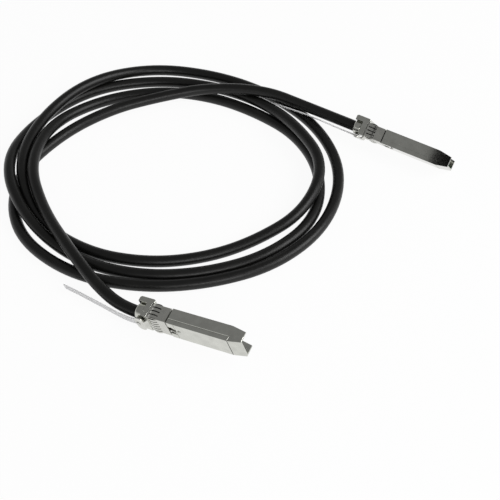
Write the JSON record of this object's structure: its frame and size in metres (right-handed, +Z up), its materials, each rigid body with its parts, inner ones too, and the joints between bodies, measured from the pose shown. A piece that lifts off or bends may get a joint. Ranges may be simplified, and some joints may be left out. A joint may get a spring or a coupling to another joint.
{
  "type": "direct attach copper cable",
  "caption": "Loosely coiled round black cable with a flat metal plug-in module at each end, spring contact collars and pull tabs on sliding latches.",
  "frame": {"origin": "centre of the two modules' outline seen from above, on the surface that the part lies on", "axes": "+Z up from the surface, +X along the longest side of the two modules' common outline, +Y towards the far module"},
  "size_m": [0.2572, 0.2275, 0.024],
  "materials": {
    "nickel_casting": "nickel plated die casting, satin",
    "spring_steel": "thin spring steel, nickel plated",
    "stamped_steel": "stamped steel strip, nickel plated",
    "nickel_steel": "nickel plated steel",
    "circuit_board": "green solder mask on glass fibre",
    "gold_contacts": "gold plated pads",
    "black_chip": "moulded black package",
    "ceramic_capacitors": "fired ceramic",
    "pair_shield": "foil and braid over insulated wires",
    "white_comb": "moulded nylon",
    "tab_film": "translucent milky plastic strip",
    "cable_jacket": "black flexible jacket, soft satin"
  },
  "bodies": {
    "modules_and_cable": {"near_housing": "nickel_casting", "near_cover": "nickel_casting", "near_spring_collar": "spring_steel", "near_cable_clamp": "nickel_casting", "near_circuit_card": "circuit_board", "near_contact_pads": "gold_contacts", "near_memory_chip": "black_chip", "near_capacitors": "ceramic_capacitors", "near_send_pair": "pair_shield", "near_receive_pair": "pair_shield", "near_wire_comb": "white_comb", "near_cable_core": "pair_shield", "near_core_ring": "nickel_steel", "near_cover_screws": "nickel_steel", "near_lower_spring": "spring_steel", "near_upper_spring": "spring_steel", "far_housing": "nickel_casting", "far_cover": "nickel_casting", "far_spring_collar": "spring_steel", "far_cable_clamp": "nickel_casting", "far_circuit_card": "circuit_board", "far_contact_pads": "gold_contacts", "far_memory_chip": "black_chip", "far_capacitors": "ceramic_capacitors", "far_send_pair": "pair_shield", "far_receive_pair": "pair_shield", "far_wire_comb": "white_comb", "far_cable_core": "pair_shield", "far_core_ring": "nickel_steel", "far_cover_screws": "nickel_steel", "far_lower_spring": "spring_steel", "far_upper_spring": "spring_steel", "cable": "cable_jacket"},
    "near_latch": {"near_latch_slider": "stamped_steel", "near_pull_tab": "tab_film", "near_tab_rivet": "nickel_steel"},
    "far_latch": {"far_latch_slider": "stamped_steel", "far_pull_tab": "tab_film", "far_tab_rivet": "nickel_steel"}
  },
  "joints": [
    {"name": "near_latch_slide", "type": "slide", "parent": "modules_and_cable", "child": "near_latch", "axis": [-0.879, 0.444, -0.1736], "range_m": [0, 0.002], "stiffness_N_per_m": 900, "springref_m": -0.001},
    {"name": "far_latch_slide", "type": "slide", "parent": "modules_and_cable", "child": "far_latch", "axis": [-0.8499, 0.527, 0], "range_m": [0, 0.002], "stiffness_N_per_m": 900, "springref_m": -0.001}
  ]
}
